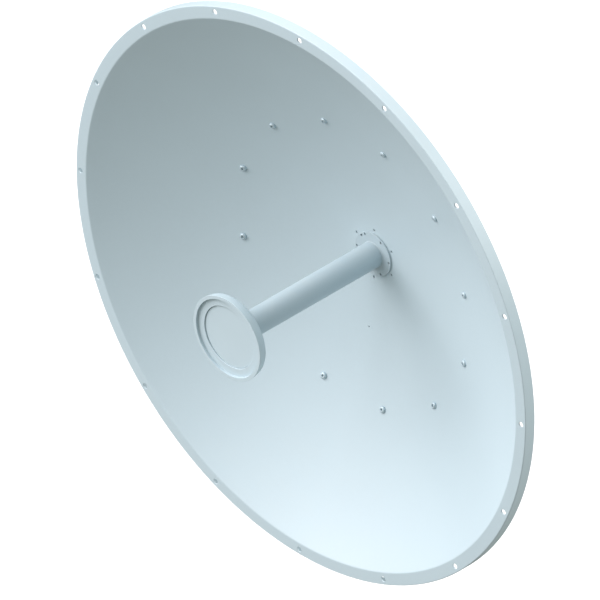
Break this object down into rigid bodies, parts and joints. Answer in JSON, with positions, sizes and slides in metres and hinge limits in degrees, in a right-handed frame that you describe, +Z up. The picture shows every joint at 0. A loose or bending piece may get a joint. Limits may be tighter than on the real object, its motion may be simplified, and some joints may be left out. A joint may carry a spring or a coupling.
{
  "type": "dish antenna",
  "caption": "Round pressed dish reflector with a turned-down rim, a tube feed ending in a cupped head, a backing ring and a flat plate for a mast clamp.",
  "frame": {"origin": "centre of the mast plate's flat back face, on the dish axis", "axes": "-Y is the way the dish looks, along its axis; +Z is up; +X is to the right seen from in front"},
  "size_m": [1.05, 0.4249, 1.05],
  "materials": {
    "dish_paint": "pale blue-grey powder coat, satin",
    "frame_paint": "pale blue-grey powder coat on steel, satin, slightly coarser",
    "feed_metal": "smooth pale blue-grey paint on a drawn tube and castings",
    "feed_plastic": "moulded pale blue-grey plastic, fine matt grain",
    "fastener": "coated steel screws, light blue-grey, worn bright at the edges",
    "connector": "nickel plated body under a screwed cap"
  },
  "bodies": {
    "root": {"reflector": "dish_paint", "back_ring": "frame_paint", "hub_plate": "frame_paint", "mount_beam_left": "frame_paint", "mount_beam_right": "frame_paint", "mount_plate": "frame_paint", "feed_tube": "feed_metal", "waveguide_housing": "feed_metal", "housing_cap": "feed_metal", "feed_head_shell": "feed_plastic", "feed_head_disc": "feed_plastic", "feed_head_cone": "feed_plastic", "connector_1": "connector", "connector_2": "connector", "ring_bolt_01": "fastener", "ring_bolt_02": "fastener", "ring_bolt_03": "fastener", "ring_bolt_04": "fastener", "ring_bolt_05": "fastener", "ring_bolt_06": "fastener", "ring_bolt_07": "fastener", "ring_bolt_08": "fastener", "ring_bolt_09": "fastener", "ring_bolt_10": "fastener", "ring_bolt_11": "fastener", "ring_bolt_12": "fastener", "hub_screw_1": "fastener", "flange_screw_1": "fastener", "hub_screw_2": "fastener", "flange_screw_2": "fastener", "hub_screw_3": "fastener", "flange_screw_3": "fastener", "hub_screw_4": "fastener", "flange_screw_4": "fastener", "hub_screw_5": "fastener", "flange_screw_5": "fastener", "hub_screw_6": "fastener", "flange_screw_6": "fastener", "beam_bolt_1": "fastener", "beam_bolt_2": "fastener", "beam_bolt_3": "fastener", "beam_bolt_4": "fastener"}
  },
  "joints": []
}
